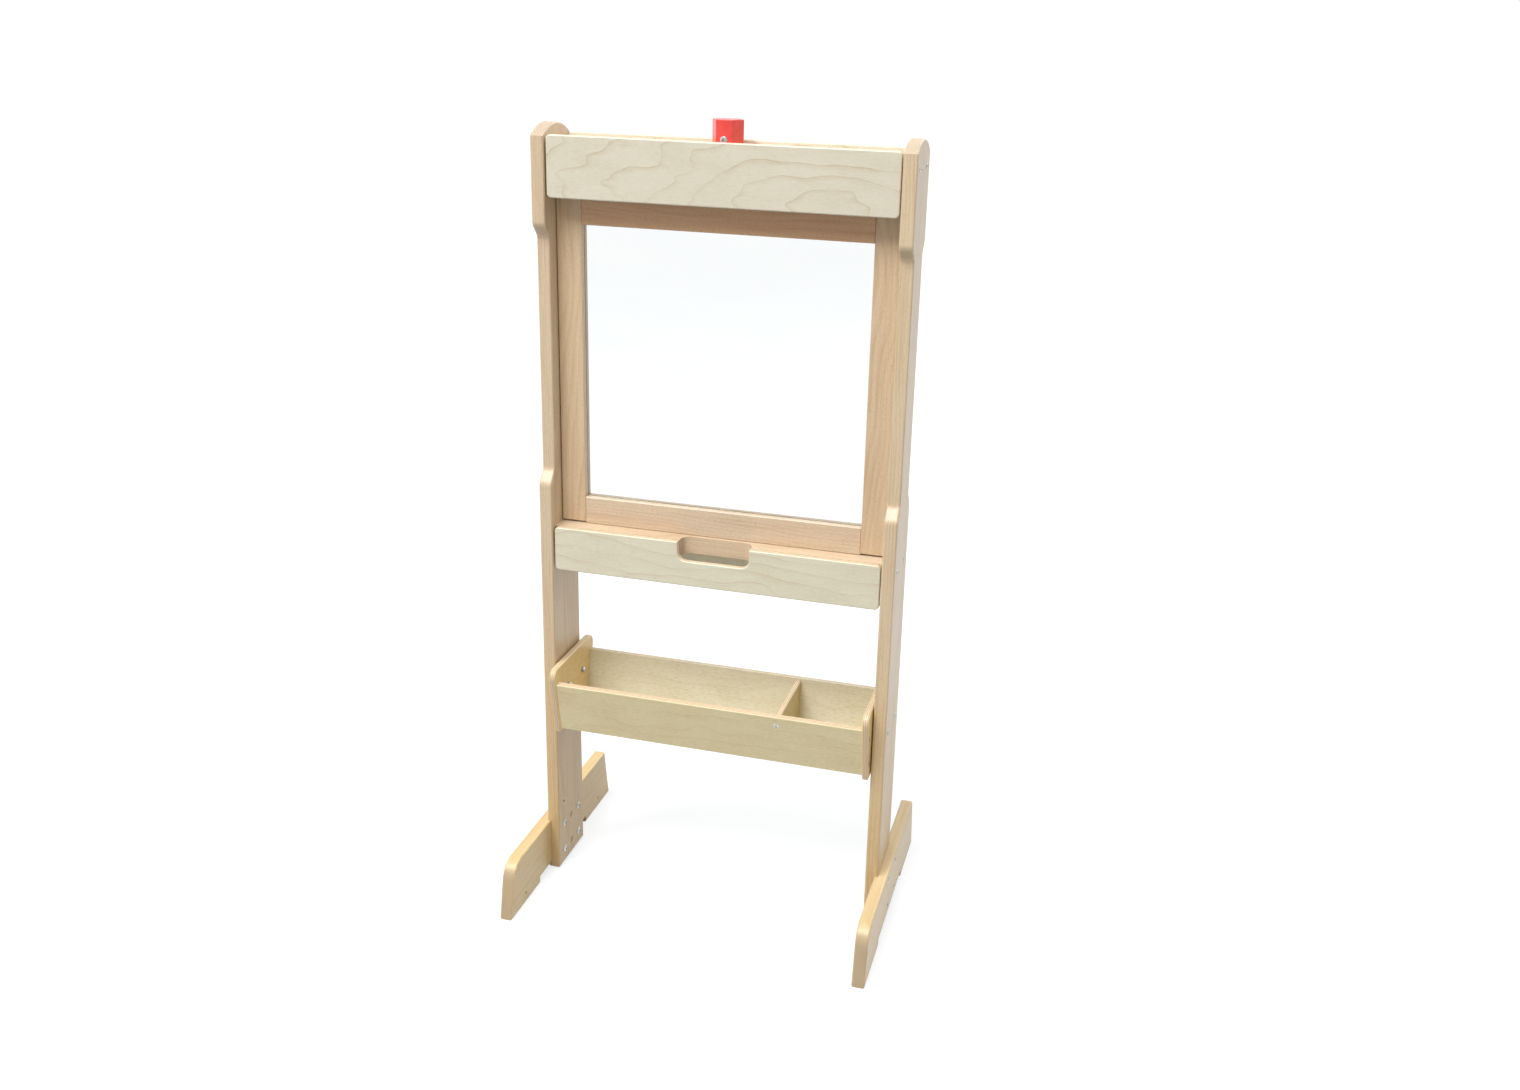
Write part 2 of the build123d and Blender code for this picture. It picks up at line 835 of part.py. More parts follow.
tray_bolt_length = upright_thickness + tray_gap + tray_ply + nut_thread
group(
    "tray_bolts",
    pan_screw(tray_bolt_head, tray_bolt_head_height, tray_bolt_radius, tray_bolt_length),
    tray_bolt_places,
)
with BuildPart() as tray_nut:
    with BuildSketch(Plane.XY):
        RegularPolygon(nut_width / 2, 6, major_radius=False)
    extrude(amount=nut_hex_height)
    with BuildSketch(Plane.XZ):
        with BuildLine():
            Polyline(
                (0, nut_hex_height + nut_dome_height),
                (0, nut_hex_height / 2),
                (nut_dome_radius, nut_hex_height / 2),
                (nut_dome_radius, nut_hex_height),
            )
            crown(nut_dome_radius, nut_hex_height, nut_hex_height + nut_dome_height)
        make_face()
    revolve(axis=Axis.Z)
    with BuildSketch(Plane.XY):
        Circle(tray_bolt_radius + screw_play)
    extrude(amount=nut_thread + 0.4, mode=Mode.SUBTRACT)
group(
    "tray_nuts",
    tray_nut.part,
    [
        facing(side * tray_inner, y, tray_bolt_height, (-side, 0, 0))
        for side in (-1, 1)
        for y in both_sides(fixing_y)
    ],
)
with BuildPart() as tray_spacer:
    with BuildSketch(Plane.XY):
        Circle(spacer_radius)
        Circle(tray_bolt_radius + 2 * screw_play, mode=Mode.SUBTRACT)
    extrude(amount=tray_gap)
group(
    "tray_spacers",
    tray_spacer.part,
    [
        facing(side * tray_outer, y, tray_bolt_height, (side, 0, 0))
        for side in (-1, 1)
        for y in both_sides(fixing_y)
    ],
)

wood_screw = flat_screw(flat_screw_head, flat_screw_radius, flat_screw_length)
group("tray_end_screws", wood_screw, tray_screw_places)
group("divider_screws", wood_screw, divider_screw_places)
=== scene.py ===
from math import cos, radians, sin

import bmesh
import bpy
from mathutils import Matrix, Vector

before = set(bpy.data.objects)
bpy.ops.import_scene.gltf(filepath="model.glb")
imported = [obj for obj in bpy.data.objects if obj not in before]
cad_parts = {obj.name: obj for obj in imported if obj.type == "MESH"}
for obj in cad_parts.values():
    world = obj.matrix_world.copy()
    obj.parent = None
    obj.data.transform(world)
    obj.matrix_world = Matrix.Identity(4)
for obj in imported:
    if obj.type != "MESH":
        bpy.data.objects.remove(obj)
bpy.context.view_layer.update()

scene = bpy.context.scene
scene.view_settings.view_transform = "Standard"


# short ways to write node trees; a value may be a number, a colour or another node's socket

def feed(tree, socket, value):
    if isinstance(value, bpy.types.NodeSocket):
        tree.links.new(value, socket)
    else:
        socket.default_value = value


def addNode(tree, kind, inputs=None, **settings):
    node = tree.nodes.new("ShaderNode" + kind)
    for name, value in settings.items():
        setattr(node, name, value)
    for name, value in (inputs or {}).items():
        feed(tree, node.inputs[name], value)
    return node


def calc(tree, operation, *values, clamp=False):
    node = addNode(tree, "Math", operation=operation, use_clamp=clamp)
    for index, value in enumerate(values):
        feed(tree, node.inputs[index], value)
    return node.outputs[0]


def vectorCalc(tree, operation, first, second=(0.0, 0.0, 0.0)):
    node = addNode(tree, "VectorMath", operation=operation)
    feed(tree, node.inputs[0], first)
    feed(tree, node.inputs[1], second)
    return node.outputs["Value" if operation in ("DOT_PRODUCT", "LENGTH") else "Vector"]


def ramp(tree, value, low, high, toLow=0.0, toHigh=1.0, smooth=True):
    limits = {"Value": value, "From Min": low, "From Max": high, "To Min": toLow, "To Max": toHigh}
    kind = "SMOOTHSTEP" if smooth else "LINEAR"
    return addNode(tree, "MapRange", limits, interpolation_type=kind, clamp=True).outputs["Result"]


def noise(tree, vector, stretch, detail=2.0, roughness=0.5, wander=0.0):
    stretched = vectorCalc(tree, "MULTIPLY", vector, stretch)
    settings = {"Vector": stretched, "Scale": 1.0, "Detail": detail, "Roughness": roughness, "Distortion": wander}
    return addNode(tree, "TexNoise", settings)


def swing(tree, value, middle, amount):  # how far a value is from its middle, times an amount
    return calc(tree, "MULTIPLY", calc(tree, "SUBTRACT", value, middle), amount)


def blend(tree, amount, first, second, mode="MIX"):
    node = addNode(tree, "Mix", data_type="RGBA", blend_type=mode, clamp_factor=True)
    for index, value in ((0, amount), (6, first), (7, second)):
        feed(tree, node.inputs[index], value)
    return node.outputs[2]


def newGroup(name, inputs, outputs):
    group = bpy.data.node_groups.new(name, "ShaderNodeTree")
    for side, entries in (("INPUT", inputs), ("OUTPUT", outputs)):
        for label, kind, *value in entries:
            socket = group.interface.new_socket(label, in_out=side, socket_type="NodeSocket" + kind)
            if value:
                socket.default_value = value[0]
    given = group.nodes.new("NodeGroupInput").outputs
    made = group.nodes.new("NodeGroupOutput").inputs
    return group, given, made


def linear(part):
    part /= 255
    return part / 12.92 if part <= 0.04045 else ((part + 0.055) / 1.055) ** 2.4


def colour(red, green, blue):  # from the 0 to 255 values of a paint chart
    return (linear(red), linear(green), linear(blue), 1.0)


def tinted(base, tint):
    return tuple(base[i] * tint[i] for i in range(3)) + (1.0,)


# rings, streaks and flecks of a solid board, with its grain along X

grainStretch = {  # pattern cycles per metre along the grain, across it and through the board
    "drift": (2.2, 9.0, 9.0), "fade": (7.0, 30.0, 30.0), "streak": (14.0, 420.0, 420.0), "blotch": (4.0, 22.0, 22.0),
    "fleck": (230.0, 1500.0, 1500.0), "pore": (260.0, 2600.0, 2600.0), "stripe": (3.0, 130.0, 130.0)}
grainShare = {
    "bend": 0.045, "streak": 1.1, "stripe": 0.9, "blotch": 1.2, "endRings": 0.85, "endBody": 0.55, "endPores": 0.3}
grainFinish = {  # roughness, with what streaks and end grain add to it, and what each pattern gives to the bump
    "rough": 0.34, "streakRough": 0.14, "endRough": 0.16, "streakRise": 0.55, "fleckDip": 0.35, "ringDip": 0.2}


def makeSolidGrain():
    group, given, made = newGroup("solidGrain", [
        ("Vector", "Vector"), ("Pith", "Vector"), ("Ring Pitch", "Float", 0.003), ("Ring Depth", "Float", 0.5),
        ("Fleck", "Float", 0.5), ("End", "Float", 0.0),
        ("Light", "Color"), ("Dark", "Color"), ("Fleck Colour", "Color"), ("End Colour", "Color")],
        [("Color", "Color"), ("Roughness", "Float"), ("Height", "Float")])
    place = given["Vector"]

    # growth rings run round the pith, which lies beside the board
    drift = noise(group, place, grainStretch["drift"], roughness=0.45).outputs["Color"]
    drift = vectorCalc(group, "SUBTRACT", drift, (0.5, 0.5, 0.5))
    drift = vectorCalc(group, "MULTIPLY", drift, (0.0, grainShare["bend"], grainShare["bend"]))
    fromPith = vectorCalc(group, "SUBTRACT", vectorCalc(group, "ADD", place, drift), given["Pith"])
    radius = vectorCalc(group, "LENGTH", vectorCalc(group, "MULTIPLY", fromPith, (0.0, 1.0, 1.0)))
    rings = calc(group, "FRACT", calc(group, "DIVIDE", radius, given["Ring Pitch"]))
    late = calc(group, "MULTIPLY", ramp(group, rings, 0.25, 0.92), ramp(group, rings, 0.94, 1.0, 1.0, 0.0))
    fade = ramp(group, noise(group, place, grainStretch["fade"]).outputs["Fac"], 0.3, 0.7, 0.35, 1.0)
    late = calc(group, "MULTIPLY", late, fade)

    # the long faces
    streak = noise(group, place, grainStretch["streak"], detail=3.0, roughness=0.6).outputs["Fac"]
    blotch = noise(group, place, grainStretch["blotch"]).outputs["Fac"]
    stripe = noise(group, place, grainStretch["stripe"]).outputs["Fac"]
    fleck = ramp(group, noise(group, place, grainStretch["fleck"], detail=1.0, wander=0.2).outputs["Fac"], 0.54, 0.68)
    shade = calc(group, "MULTIPLY", late, given["Ring Depth"])
    shade = calc(group, "ADD", shade, swing(group, streak, 0.5, grainShare["streak"]))
    shade = calc(group, "ADD", shade, swing(group, stripe, 0.5, grainShare["stripe"]))
    shade = calc(group, "ADD", shade, swing(group, blotch, 0.42, grainShare["blotch"]), clamp=True)
    body = blend(group, shade, given["Light"], given["Dark"])
    along = blend(group, calc(group, "MULTIPLY", fleck, given["Fleck"]), body, given["Fleck Colour"])

    # the end grain: rings as stripes, and pores as dots
    pore = ramp(group, noise(group, place, grainStretch["pore"], detail=1.0).outputs["Fac"], 0.5, 0.66)
    endRings = calc(group, "MULTIPLY", late, grainShare["endRings"], clamp=True)
    across = blend(group, grainShare["endBody"], given["Light"], given["End Colour"])
    across = blend(group, endRings, across, given["End Colour"])
    across = blend(group, calc(group, "MULTIPLY", pore, grainShare["endPores"]), across, given["Dark"])
    group.links.new(blend(group, given["End"], along, across), made["Color"])

    def share(value, name):
        return calc(group, "MULTIPLY", value, grainFinish[name])

    rough = calc(group, "ADD", grainFinish["rough"], share(streak, "streakRough"))
    group.links.new(calc(group, "ADD", rough, share(given["End"], "endRough")), made["Roughness"])
    height = calc(group, "SUBTRACT", share(streak, "streakRise"), share(fleck, "fleckDip"))
    group.links.new(calc(group, "SUBTRACT", height, share(late, "ringDip")), made["Height"])
    return group


# the contour lines of a peeled face veneer: ovals about a heart, longer along X, bent by a slow wave

veneerStretch = {  # pattern cycles per metre
    "wave": (7.0, 19.0, 1.0), "ragged": (70.0, 300.0, 300.0), "fade": (9.0, 26.0, 26.0),
    "fibre": (60.0, 1100.0, 1100.0), "dash": (120.0, 820.0, 820.0),
    "mottle": (150.0, 420.0, 420.0), "cloud": (12.0, 30.0, 30.0)}
veneerLines = {  # metres, then shares of a line's darkness, and the smallest slope that still counts
    "step": 0.0012, "edge": 0.0002, "thick": 0.0017, "band": 0.009,
    "lineShare": 0.5, "bandShare": 0.34, "flattest": 10.0}
veneerFinish = {
    "fibreShade": 1.0, "cloudShade": 1.5, "mottleShade": 1.4,
    "rough": 0.33, "fibreRough": 0.14, "fibreRise": 0.5, "lineDip": 0.25}


def makeVeneer():
    group, given, made = newGroup("peeledVeneer", [
        ("Vector", "Vector"), ("Heart", "Vector"), ("Ovals", "Vector", (16.0, 48.0, 0.0)), ("Wave", "Float", 1.0),
        ("Jagged", "Float", 0.004), ("Line Strength", "Float", 0.7), ("Hatch", "Float", 0.2),
        ("Light", "Color"), ("Dark", "Color"), ("Line", "Color")],
        [("Color", "Color"), ("Roughness", "Float"), ("Height", "Float")])
    place, step = given["Vector"], veneerLines["step"]

    def contourField(shift):
        moved = vectorCalc(group, "ADD", place, shift)
        fromHeart = vectorCalc(group, "SUBTRACT", moved, given["Heart"])
        oval = vectorCalc(group, "LENGTH", vectorCalc(group, "MULTIPLY", fromHeart, given["Ovals"]))
        wave = noise(group, moved, veneerStretch["wave"], detail=2.5, roughness=0.45).outputs["Fac"]
        return calc(group, "ADD", oval, swing(group, wave, 0.5, given["Wave"]))

    # a line's distance in metres, from the field and its slope, keeps every line equally thick
    here = contourField((0.0, 0.0, 0.0))
    slopes = []
    for shift in ((step, 0.0, 0.0), (0.0, step, 0.0)):
        rise = calc(group, "DIVIDE", calc(group, "SUBTRACT", contourField(shift), here), step)
        slopes.append(calc(group, "MULTIPLY", rise, rise))
    slope = calc(group, "MAXIMUM", calc(group, "SQRT", calc(group, "ADD", *slopes)), veneerLines["flattest"])
    distance = calc(group, "DIVIDE", calc(group, "SUBTRACT", 1.0, calc(group, "FRACT", here)), slope)
    ragged = noise(group, place, veneerStretch["ragged"], detail=3.0, roughness=0.6).outputs["Fac"]
    distance = calc(group, "ADD", distance, swing(group, ragged, 0.5, given["Jagged"]))
    sharp = ramp(group, distance, veneerLines["edge"], veneerLines["thick"], 1.0, 0.0)
    band = ramp(group, distance, 0.0, veneerLines["band"], 1.0, 0.0)
    line = calc(group, "ADD", calc(group, "MULTIPLY", sharp, veneerLines["lineShare"]),
                calc(group, "MULTIPLY", band, veneerLines["bandShare"]))
    fade = ramp(group, noise(group, place, veneerStretch["fade"]).outputs["Fac"], 0.32, 0.62, 0.25, 1.0)
    line = calc(group, "MULTIPLY", calc(group, "MULTIPLY", line, fade), given["Line Strength"])

    # fibres, short dashes, mottle and slow clouds between the lines
    fibre = noise(group, place, veneerStretch["fibre"], detail=3.0, roughness=0.6).outputs["Fac"]
    dash = ramp(group, noise(group, place, veneerStretch["dash"], wander=0.4).outputs["Fac"], 0.48, 0.64)
    mottle = noise(group, place, veneerStretch["mottle"], detail=3.0, roughness=0.65, wander=0.6).outputs["Fac"]
    cloud = noise(group, place, veneerStretch["cloud"], detail=3.0).outputs["Fac"]
    clouded = swing(group, cloud, 0.4, veneerFinish["cloudShade"])
    shade = calc(group, "ADD", swing(group, fibre, 0.45, veneerFinish["fibreShade"]), clouded)
    shade = calc(group, "ADD", shade, swing(group, mottle, 0.5, veneerFinish["mottleShade"]))
    shade = calc(group, "ADD", shade, calc(group, "MULTIPLY", dash, given["Hatch"]), clamp=True)
    face = blend(group, shade, given["Light"], given["Dark"])
    group.links.new(blend(group, line, face, given["Line"]), made["Color"])
    fibreRough = calc(group, "MULTIPLY", fibre, veneerFinish["fibreRough"])
    group.links.new(calc(group, "ADD", veneerFinish["rough"], fibreRough), made["Roughness"])
    fibreRise = calc(group, "MULTIPLY", fibre, veneerFinish["fibreRise"])
    lineDip = calc(group, "MULTIPLY", line, veneerFinish["lineDip"])
    group.links.new(calc(group, "SUBTRACT", fibreRise, lineDip), made["Height"])
    return group


# which ply of a sheet a point lies in, from its depth through the sheet along Z

plySway = {"stretch": (34.0, 34.0, 300.0), "depth": 0.00035}


def makePlies():
    group, given, made = newGroup("plyLayers", [
        ("Vector", "Vector"), ("Thickness", "Float", 0.009), ("Plies", "Float", 7.0)],
        [("Inner", "Float"), ("Cross", "Float"), ("Glue", "Float")])
    depth = addNode(group, "SeparateXYZ", {"Vector": given["Vector"]}).outputs["Z"]
    sway = noise(group, given["Vector"], plySway["stretch"], detail=3.0).outputs["Fac"]
    depth = calc(group, "ADD", depth, swing(group, sway, 0.5, plySway["depth"]))
    layer = calc(group, "MULTIPLY", calc(group, "DIVIDE", depth, given["Thickness"]), given["Plies"])
    above = calc(group, "SUBTRACT", given["Plies"], layer)
    inner = calc(group, "MULTIPLY", ramp(group, layer, 0.92, 1.02), ramp(group, above, 0.92, 1.02))
    pair = calc(group, "FRACT", calc(group, "MULTIPLY", layer, 0.5))
    crossed = calc(group, "MULTIPLY", ramp(group, pair, 0.48, 0.54), ramp(group, pair, 0.96, 1.0, 1.0, 0.0))
    seam = calc(group, "SUBTRACT", calc(group, "FRACT", calc(group, "ADD", layer, 0.5)), 0.5)
    glue = ramp(group, calc(group, "ABSOLUTE", seam), 0.03, 0.12, 1.0, 0.0)
    group.links.new(inner, made["Inner"])
    group.links.new(calc(group, "MULTIPLY", crossed, inner), made["Cross"])
    group.links.new(calc(group, "MULTIPLY", glue, inner), made["Glue"])
    return group


solidGrain, peeledVeneer, plyLayers = makeSolidGrain(), makeVeneer(), makePlies()
print("shared grain groups made")


# laying a pattern on a board

def boardTurn(grain, thick):  # rows: X along the grain, Y across it, Z through the board
    thick = Vector(thick).normalized()
    grain = Vector(grain).normalized()
    return Matrix((grain, thick.cross(grain), thick))


def boardSpan(nodeName, turn):
    corners = [turn @ v.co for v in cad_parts[nodeName].data.vertices]
    return [Vector([pick(c[i] for c in corners) for i in range(3)]) for pick in (min, max)]


def boardVector(tree, turn, offset):
    place = addNode(tree, "TexCoord")
    settings = {"Vector": place.outputs["Object"], "Location": offset, "Rotation": turn.to_euler("XYZ")}
    return addNode(tree, "Mapping", settings, vector_type="POINT").outputs[0], place.outputs["Normal"]


def newMaterial(name):
    material = bpy.data.materials.new(name)
    material.use_nodes = True
    tree = material.node_tree
    tree.nodes.clear()
    shader = addNode(tree, "BsdfPrincipled")
    tree.links.new(shader.outputs[0], addNode(tree, "OutputMaterial").inputs["Surface"])
    return material, tree, shader


def addBump(tree, shader, height, distance, strength=0.5):
    bump = addNode(tree, "Bump", {"Height": height, "Strength": strength, "Distance": distance})
    tree.links.new(bump.outputs[0], shader.inputs["Normal"])


def giveMaterial(nodeName, material):
    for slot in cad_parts[nodeName].material_slots:
        slot.material = material


def solidWood(name, look, grain, thick, offset, board, tint=(1.0, 1.0, 1.0)):
    material, tree, shader = newMaterial(name)
    vector, normal = boardVector(tree, boardTurn(grain, thick), offset)
    facing = calc(tree, "ABSOLUTE", vectorCalc(tree, "DOT_PRODUCT", normal, Vector(grain)))
    evenTint = (tint[0],) * 3  # end grain keeps its own colour, only lighter or darker
    pith, ringPitch, ringDepth, fleck = board
    inputs = {
        "Vector": vector, "End": ramp(tree, facing, 0.55, 0.9), "Pith": (0.0, *pith), "Ring Pitch": ringPitch,
        "Ring Depth": ringDepth, "Fleck": fleck,
        "Light": tinted(look["light"], tint), "Dark": tinted(look["dark"], tint),
        "Fleck Colour": tinted(look["fleck"], tint), "End Colour": tinted(look["endGrain"], evenTint)}
    grainNode = addNode(tree, "Group", node_tree=solidGrain)
    for label, value in inputs.items():
        feed(tree, grainNode.inputs[label], value)
    tree.links.new(grainNode.outputs["Color"], shader.inputs["Base Color"])
    tree.links.new(grainNode.outputs["Roughness"], shader.inputs["Roughness"])
    addBump(tree, shader, grainNode.outputs["Height"], look["bump"])
    shader.inputs["Coat Weight"].default_value = look["coat"]
    shader.inputs["Coat Roughness"].default_value = look["coatRoughness"]
    return material, tree, shader, grainNode


# solid beech

beechLook = {
    "light": colour(222, 201, 173), "dark": colour(200, 171, 137),
    "fleck": colour(176, 141, 108), "endGrain": colour(160, 144, 126),
    "bump": 0.0003, "coat": 0.3, "coatRoughness": 0.24,
    # the last three entries paint warm shade on the uprights near the floor: a tone, then the heights where it fades
    # in
    "lowShadeTone": (0.97, 0.88, 0.68, 1.0), "lowFrom": 0.5, "lowTo": 0.1}
boardStep = 0.37  # metres of pattern between one board and the next
beechBoards = {  # grain, thickness, then (the tree's middle, ring pitch, ring depth, fleck share), then the tint
    "left_upright": ((0, 0, 1), (1, 0, 0), ((0.035, 0.13), 0.0038, 0.45, 0.25), (0.91, 0.93, 0.92)),
    "right_upright": ((0, 0, 1), (1, 0, 0), ((-0.05, -0.11), 0.0034, 0.5, 0.22), (0.93, 0.96, 0.93)),
    # the feet's strongly yellow tints paint the warm shade near the floor into their colour
    "left_foot": ((0, 1, 0), (1, 0, 0), ((0.06, 0.07), 0.0024, 0.4, 0.2), (0.97, 0.93, 0.66)),
    "right_foot": ((0, 1, 0), (1, 0, 0), ((0.05, -0.07), 0.0024, 0.4, 0.2), (0.92, 0.9, 0.68)),
    "head_shelf": ((1, 0, 0), (0, 0, 1), ((0.02, 0.12), 0.0036, 0.45, 0.3), (0.97, 0.97, 0.97)),
    "lower_shelf": ((1, 0, 0), (0, 0, 1), ((-0.03, 0.12), 0.0036, 0.45, 0.3), (0.97, 0.98, 1.0)),
    "board_left_stile": ((0, 0, 1), (0, 1, 0), ((0.03, 0.09), 0.003, 0.45, 0.35), (0.92, 0.89, 0.83)),
    "board_right_stile": ((0, 0, 1), (0, 1, 0), ((-0.04, 0.1), 0.003, 0.45, 0.35), (0.92, 0.9, 0.85)),
    # the top rail's darker, redder tint is painted shade from the head panel above it
    "board_top_rail": ((1, 0, 0), (0, 1, 0), ((0.04, 0.08), 0.0032, 0.4, 0.5), (0.91, 0.73, 0.6)),
    "board_bottom_rail": ((1, 0, 0), (0, 1, 0), ((0.05, -0.08), 0.0032, 0.4, 0.45), (0.95, 0.96, 0.99)),
}

for index, (nodeName, (grain, thick, board, tint)) in enumerate(beechBoards.items(), 1):
    low, high = boardSpan(nodeName, boardTurn(grain, thick))
    middle = (low + high) / 2
    offset = (boardStep * index - middle.x, -middle.y, -middle.z)
    material, tree, shader, grainNode = solidWood("beech_" + nodeName, beechLook, grain, thick, offset, board, tint)
    # painted shade: the uprights' colour is multiplied by a warm tone towards the floor, standing in for the warm
    # shade there
    if "upright" in nodeName:  # the long boards are warmer towards the floor
        height = addNode(tree, "SeparateXYZ", {"Vector": addNode(tree, "TexCoord").outputs["Object"]}).outputs["Z"]
        lowShadeShare = ramp(tree, height, beechLook["lowTo"], beechLook["lowFrom"], 1.0, 0.0)
        shadeWarmed = blend(tree, lowShadeShare, grainNode.outputs["Color"], beechLook["lowShadeTone"], mode="MULTIPLY")
        tree.links.new(shadeWarmed, shader.inputs["Base Color"])
    giveMaterial(nodeName, material)
print("beech boards finished")


# dowels and the wooden pin

dowelLook = {
    "light": colour(221, 196, 160), "dark": colour(196, 162, 120),
    "fleck": colour(160, 120, 82), "endGrain": colour(164, 128, 90),
    "bump": 0.0002, "coat": 0.05, "coatRoughness": 0.24}
dowelGrain = ((0.03, 0.04), 0.0014, 0.6, 0.3)
dowelPieces = {"foot_dowels": (1, 0, 0), "frame_dowels": (1, 0, 0), "lock_pin": (0, 0, 1)}

for nodeName, grain in dowelPieces.items():
    thick = (0, 0, 1) if grain[0] else (1, 0, 0)
    giveMaterial(nodeName, solidWood("dowel_" + nodeName, dowelLook, grain, thick, (0.11, 0.0, 0.0), dowelGrain)[0])
print("dowels and pin finished")


# pale plywood panels and the yellower tray plywood

panelLook = {
    "light": colour(226, 219, 199), "dark": colour(213, 204, 179), "line": colour(190, 168, 130),
    "crossPly": colour(206, 184, 152), "innerPly": colour(228, 213, 186), "glue": colour(160, 130, 98)}
trayLook = {
    "light": colour(222, 209, 173), "dark": colour(206, 190, 150), "line": colour(188, 166, 122),
    "crossPly": colour(198, 171, 134), "innerPly": colour(228, 212, 182), "glue": colour(146, 116, 84)}
sheetFinish = {
    "plies": 7.0, "glueShare": 0.5, "glueDip": 0.6, "crossRough": 0.15,
    "bump": 0.00025, "coat": 0.25, "coatRoughness": 0.28}
sheetStep = 0.29  # metres of pattern between one sheet and the next
lean = radians(11.5)  # of the tray's front and back boards
alongX, alongY, alongZ = (1, 0, 0), (0, 1, 0), (0, 0, 1)
frontLean, backLean = (0, cos(lean), sin(lean)), (0, cos(lean), -sin(lean))
sheetBoards = {  # look, grain, thickness, heart, ovals, wave, jaggedness, line strength, hatch, tint
    "front_head_panel": (panelLook, alongX, alongY, (0.15, 0.035), (17.0, 46.0), 2.6, 0.005, 0.75, 0.15, (0.91, 0.94, 0.97)),
    "rear_head_panel": (panelLook, alongX, alongY, (-0.13, 0.03), (15.0, 44.0), 2.8, 0.005, 0.75, 0.15, (0.91, 0.94, 0.97)),
    "front_lower_panel": (panelLook, alongX, alongY, (-0.42, 0.14), (7.0, 62.0), 3.0, 0.003, 0.6, 0.3, (0.96, 1.0, 1.0)),
    "rear_lower_panel": (panelLook, alongX, alongY, (0.4, -0.15), (7.0, 58.0), 3.0, 0.003, 0.6, 0.3, (0.96, 1.0, 1.0)),
    # the tray's tints above 1 lift its boards as painted light inside the tray, and the divider's lower tint is
    # painted shade
    "tray_left_end": (trayLook, alongY, alongX, (0.2, 0.12), (8.0, 60.0), 2.2, 0.003, 0.35, 0.5, (1.16, 1.02, 0.8)),
    "tray_right_end": (trayLook, alongY, alongX, (0.2, -0.12), (8.0, 60.0), 2.2, 0.003, 0.35, 0.5, (1.2, 1.1, 0.86)),
    "tray_front_board": (trayLook, alongX, frontLean, (0.2, 0.09), (5.0, 44.0), 3.4, 0.004, 0.38, 0.3, (1.05, 1.08, 1.05)),
    "tray_back_board": (trayLook, alongX, backLean, (-0.5, 0.2), (6.0, 60.0), 3.6, 0.004, 0.32, 0.6, (1.06, 1.16, 1.44)),
    "tray_bottom": (trayLook, alongX, alongZ, (0.5, 0.2), (6.0, 56.0), 3.0, 0.003, 0.35, 0.5, (1.03, 1.12, 1.38)),
    "tray_divider": (trayLook, alongY, alongX, (0.2, 0.12), (8.0, 60.0), 2.2, 0.003, 0.35, 0.5, (0.84, 0.79, 0.62)),
}


def sheetMaterial(nodeName, seed, look, grain, thick, heart, ovals, wave, jagged, lineStrength, hatch, tint):
    material, tree, shader = newMaterial("plywood_" + nodeName)
    turn = boardTurn(grain, thick)
    low, high = boardSpan(nodeName, turn)
    vector = boardVector(tree, turn, (seed - (low.x + high.x) / 2, -(low.y + high.y) / 2, -low.z))[0]
    face = addNode(tree, "Group", node_tree=peeledVeneer)
    plies = addNode(tree, "Group", node_tree=plyLayers)
    faceInputs = {
        "Vector": vector, "Heart": (seed + heart[0], heart[1], 0.0), "Ovals": (*ovals, 0.0),
        "Wave": wave, "Jagged": jagged, "Line Strength": lineStrength, "Hatch": hatch,
        "Light": tinted(look["light"], tint), "Dark": tinted(look["dark"], tint), "Line": tinted(look["line"], tint)}
    plyInputs = {"Vector": vector, "Thickness": high.z - low.z, "Plies": sheetFinish["plies"]}
    for node, inputs in ((face, faceInputs), (plies, plyInputs)):
        for label, value in inputs.items():
            feed(tree, node.inputs[label], value)
    shown = blend(tree, plies.outputs["Inner"], face.outputs["Color"], look["innerPly"])
    shown = blend(tree, plies.outputs["Cross"], shown, look["crossPly"])
    shown = blend(tree, calc(tree, "MULTIPLY", plies.outputs["Glue"], sheetFinish["glueShare"]), shown, look["glue"])
    tree.links.new(shown, shader.inputs["Base Color"])
    crossRough = calc(tree, "MULTIPLY", plies.outputs["Cross"], sheetFinish["crossRough"])
    rough = calc(tree, "ADD", face.outputs["Roughness"], crossRough)
    tree.links.new(rough, shader.inputs["Roughness"])
    glueDip = calc(tree, "MULTIPLY", plies.outputs["Glue"], sheetFinish["glueDip"])
    height = calc(tree, "SUBTRACT", face.outputs["Height"], glueDip)
    addBump(tree, shader, height, sheetFinish["bump"])
    shader.inputs["Coat Weight"].default_value = sheetFinish["coat"]
    shader.inputs["Coat Roughness"].default_value = sheetFinish["coatRoughness"]
    return material


for index, (nodeName, values) in enumerate(sheetBoards.items(), 1):
    giveMaterial(nodeName, sheetMaterial(nodeName, sheetStep * index, *values))
print("plywood panels and tray finished")


# red paint on the knob

paintLook = {
    "red": colour(229, 70, 62), "worn": colour(240, 118, 106), "deep": colour(221, 60, 54),
    "brush": (160.0, 160.0, 900.0), "patch": (60.0, 60.0, 60.0), "bump": 0.00012, "coat": 0.4, "coatRoughness": 0.18}


